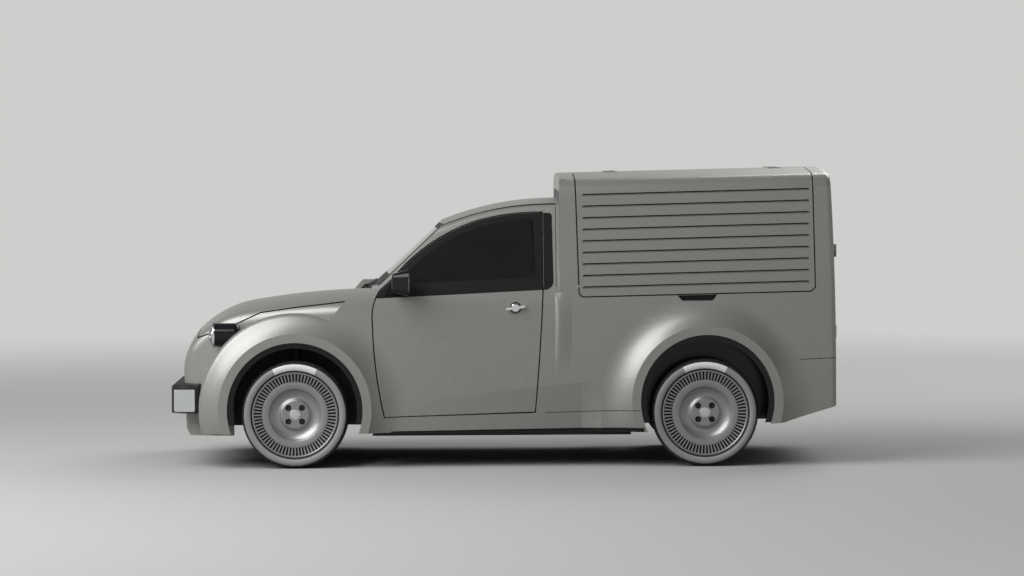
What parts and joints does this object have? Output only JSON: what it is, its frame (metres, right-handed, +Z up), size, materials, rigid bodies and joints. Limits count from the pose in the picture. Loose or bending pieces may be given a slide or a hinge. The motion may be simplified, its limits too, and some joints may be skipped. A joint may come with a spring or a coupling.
{
  "type": "electric van",
  "caption": "Compact electric delivery van with flared wheel arches, a raised load box with ribbed lift-up side flaps, hinged doors and bonnet, steered front wheels and round headlamps.",
  "frame": {"origin": "on the ground under the middle of the overall length, on the centre plane", "axes": "+X to the rear, +Y to the van's right, +Z up"},
  "size_m": [3.786, 1.89, 1.6883],
  "materials": {
    "paint": "warm grey metallic",
    "black_plastic": "fine grain",
    "gloss_black": "gloss",
    "chrome": "polished",
    "glass": "tinted",
    "lamp_red": "gloss lens",
    "chassis": "satin black coating",
    "casing": "cast",
    "lining": "textured",
    "seat": "woven",
    "rim": "silver lacquer",
    "tyre": "matte"
  },
  "bodies": {
    "body": {"arch_liners": "black_plastic", "battery_pack": "casing", "body_sides": "paint", "box_roof": "paint", "bulkhead": "lining", "bumper_blades": "chrome", "cab_frame": "paint", "cowl": "black_plastic", "dashboard": "black_plastic", "drive_unit": "casing", "front_bumper": "black_plastic", "front_fenders": "paint", "front_subframe": "chassis", "headlamp_lenses": "glass", "headlamp_pods": "gloss_black", "headlamp_rims": "chrome", "load_floor": "lining", "nose_panel": "paint", "rear_axle": "chassis", "rear_bumper": "paint", "seats": "seat", "sill_panels": "paint", "tail_lamps": "lamp_red", "underbody": "chassis", "windscreen": "glass"},
    "bonnet": {"bonnet": "paint"},
    "door_left": {"door_left": "paint", "door_glass_left": "glass", "mirror_left": "black_plastic", "door_handle_left": "chrome"},
    "door_right": {"door_right": "paint", "door_glass_right": "glass", "mirror_right": "black_plastic", "door_handle_right": "chrome"},
    "side_flap_left": {"side_flap_left": "paint"},
    "side_flap_right": {"side_flap_right": "paint"},
    "rear_door_left": {"rear_door_left": "paint"},
    "rear_door_right": {"rear_door_right": "paint"},
    "steering_wheel": {"steering_wheel": "black_plastic"},
    "knuckle_left": {"knuckle_left": "chassis"},
    "knuckle_right": {"knuckle_right": "chassis"},
    "wheel_front_left": {"rim_front_left": "rim", "tyre_front_left": "tyre"},
    "wheel_front_right": {"rim_front_right": "rim", "tyre_front_right": "tyre"},
    "wheel_rear_left": {"rim_rear_left": "rim", "tyre_rear_left": "tyre"},
    "wheel_rear_right": {"rim_rear_right": "rim", "tyre_rear_right": "tyre"}
  },
  "joints": [
    {"name": "bonnet_lift", "type": "hinge", "parent": "body", "child": "bonnet", "pos_m": [-0.839, 0, 0.972], "axis": [0, 1, 0], "range_deg": [0, 60]},
    {"name": "door_left_swing", "type": "hinge", "parent": "body", "child": "door_left", "pos_m": [-0.748, -0.783, 0.7], "axis": [0, 0, -1], "range_deg": [0, 65]},
    {"name": "door_right_swing", "type": "hinge", "parent": "body", "child": "door_right", "pos_m": [-0.748, 0.783, 0.7], "axis": [0, 0, 1], "range_deg": [0, 65]},
    {"name": "side_flap_left_lift", "type": "hinge", "parent": "body", "child": "side_flap_left", "pos_m": [0.32, -0.198, 1.65539], "axis": [-0.9998, 0, -0.0202], "range_deg": [0, 80]},
    {"name": "side_flap_right_lift", "type": "hinge", "parent": "body", "child": "side_flap_right", "pos_m": [0.32, 0.198, 1.65539], "axis": [0.9998, 0, 0.0202], "range_deg": [0, 80]},
    {"name": "rear_door_left_swing", "type": "hinge", "parent": "body", "child": "rear_door_left", "pos_m": [1.887, -0.697, 1.1], "axis": [0, 0, -1], "range_deg": [0, 110]},
    {"name": "rear_door_right_swing", "type": "hinge", "parent": "body", "child": "rear_door_right", "pos_m": [1.887, 0.697, 1.1], "axis": [0, 0, 1], "range_deg": [0, 110]},
    {"name": "steer_left", "type": "hinge", "parent": "body", "child": "knuckle_left", "pos_m": [-1.182, -0.66, 0.19], "axis": [0, 0.2463, 0.9692], "range_deg": [-32, 32]},
    {"name": "steer_right", "type": "hinge", "parent": "body", "child": "knuckle_right", "pos_m": [-1.182, 0.66, 0.19], "axis": [0, -0.2463, 0.9692], "range_deg": [-32, 32]},
    {"name": "steering_wheel_turn", "type": "hinge", "parent": "body", "child": "steering_wheel", "pos_m": [-0.29, -0.37, 0.908], "axis": [0.9063, 0, 0.4226], "range_deg": [-500, 500]},
    {"name": "wheel_front_left_spin", "type": "hinge", "parent": "knuckle_left", "child": "wheel_front_left", "pos_m": [-1.182, -0.702, 0.304], "axis": [0, 1, 0], "continuous": true},
    {"name": "wheel_front_right_spin", "type": "hinge", "parent": "knuckle_right", "child": "wheel_front_right", "pos_m": [-1.182, 0.702, 0.304], "axis": [0, 1, 0], "continuous": true},
    {"name": "wheel_rear_left_spin", "type": "hinge", "parent": "body", "child": "wheel_rear_left", "pos_m": [1.14, -0.702, 0.304], "axis": [0, 1, 0], "continuous": true},
    {"name": "wheel_rear_right_spin", "type": "hinge", "parent": "body", "child": "wheel_rear_right", "pos_m": [1.14, 0.702, 0.304], "axis": [0, 1, 0], "continuous": true}
  ],
  "couplings": [
    {"joint": "steer_right", "follows": "steer_left", "ratio": 1},
    {"joint": "steering_wheel_turn", "follows": "steer_left", "ratio": 15}
  ]
}
